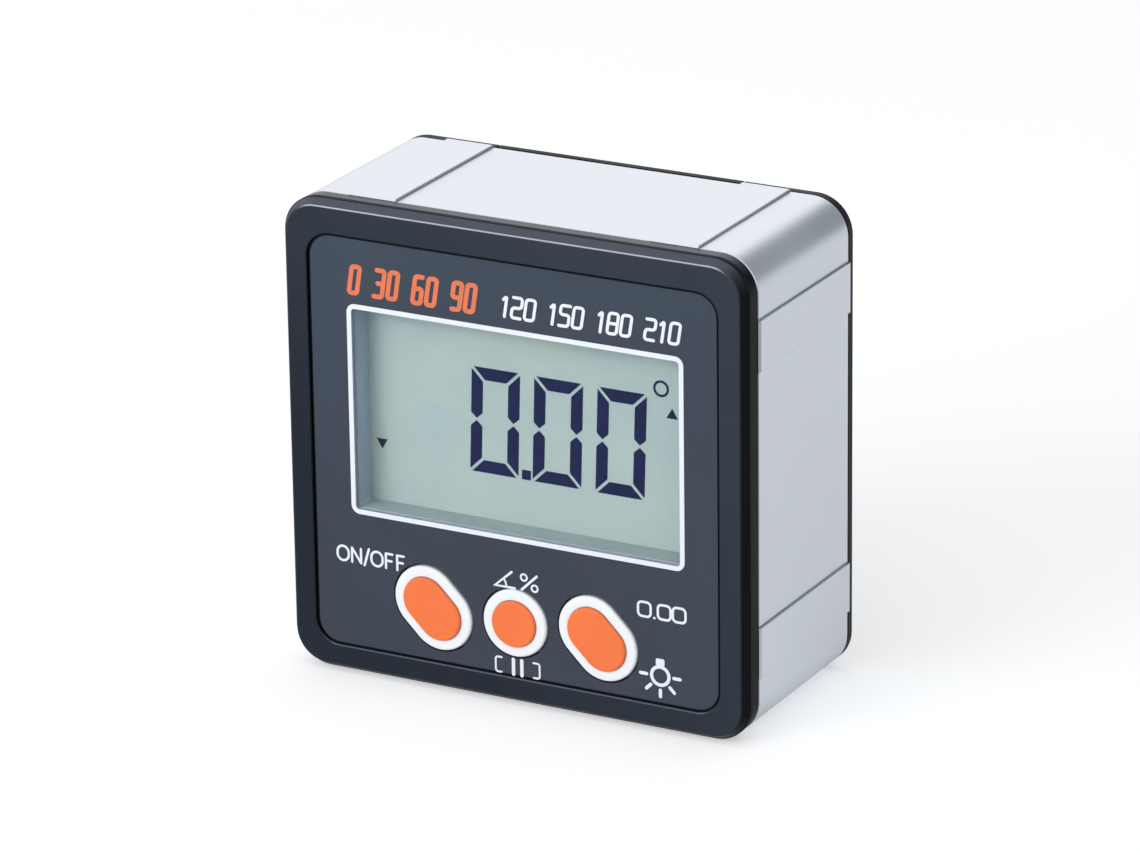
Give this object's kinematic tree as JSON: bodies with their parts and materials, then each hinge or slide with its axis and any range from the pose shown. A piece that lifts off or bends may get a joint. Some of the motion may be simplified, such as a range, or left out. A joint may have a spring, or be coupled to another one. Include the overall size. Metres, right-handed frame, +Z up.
{
  "type": "digital inclinometer",
  "caption": "Pocket digital angle gauge: square aluminium ring with raised reference pads, black front with recessed display and orange keys, sliding battery door behind.",
  "frame": {"origin": "centre of the bounding box's underside, in the plane of the base pads", "axes": "+X to the right of the display, +Y from the display to the battery door, +Z up"},
  "size_m": [0.0606, 0.0284, 0.0586],
  "materials": {
    "bezel_plastic": "satin, slightly glossy at the rim",
    "panel_print": "printed film with a fine satin grain",
    "clear_lens": "clear, polished",
    "holder_plastic": "fine matt",
    "display_glass": "smooth grey-green display",
    "light_guide": "milky",
    "lamp_resin": "cast resin",
    "strip_rubber": "matt",
    "board_laminate": "solder mask",
    "switch_plastic": "moulded",
    "plunger_plastic": "moulded",
    "chip_resin": "moulded resin",
    "screw_steel": "zinc plated",
    "frame_aluminium": "satin anodised",
    "magnet_nickel": "nickel plated",
    "cover_plastic": "fine spark-eroded texture",
    "door_plastic": "fine spark-eroded texture",
    "cell_jacket": "printed sleeve",
    "contact_metal": "nickel plated strip",
    "red_insulation": "smooth",
    "black_insulation": "smooth",
    "key_white": "satin gloss",
    "key_orange": "satin gloss"
  },
  "bodies": {
    "housing": {"front_bezel": "bezel_plastic", "panel_overlay": "panel_print", "display_lens": "clear_lens", "display_holder": "holder_plastic", "display_glass": "display_glass", "light_guide": "light_guide", "contact_strips": "strip_rubber", "main_board": "board_laminate", "switch_bodies": "switch_plastic", "controller_chip": "chip_resin", "tilt_sensor": "chip_resin", "board_screws": "screw_steel", "ring_frame": "frame_aluminium", "base_magnets": "magnet_nickel", "rear_cover": "cover_plastic", "cover_screws": "screw_steel", "left_cell": "cell_jacket", "right_cell": "cell_jacket", "bridge_contact": "contact_metal", "end_contacts": "contact_metal", "positive_lead": "red_insulation", "negative_lead": "black_insulation", "switch_legs": "contact_metal", "chip_legs": "contact_metal", "backlight_lamps": "lamp_resin"},
    "power_key": {"power_key_cap": "key_white", "power_key_face": "key_orange", "power_key_plunger": "plunger_plastic"},
    "hold_key": {"hold_key_cap": "key_white", "hold_key_face": "key_orange", "hold_key_plunger": "plunger_plastic"},
    "zero_key": {"zero_key_cap": "key_white", "zero_key_face": "key_orange", "zero_key_plunger": "plunger_plastic"},
    "battery_door": {"battery_door": "door_plastic"}
  },
  "joints": [
    {"name": "power_key_press", "type": "slide", "parent": "housing", "child": "power_key", "axis": [0, 1, 0], "range_m": [0, 0.0004], "stiffness_N_per_m": 4000},
    {"name": "hold_key_press", "type": "slide", "parent": "housing", "child": "hold_key", "axis": [0, 1, 0], "range_m": [0, 0.0004], "stiffness_N_per_m": 4000},
    {"name": "zero_key_press", "type": "slide", "parent": "housing", "child": "zero_key", "axis": [0, 1, 0], "range_m": [0, 0.0004], "stiffness_N_per_m": 4000},
    {"name": "battery_door_slide", "type": "slide", "parent": "housing", "child": "battery_door", "axis": [0, 0, 1], "range_m": [0, 0.005]}
  ]
}
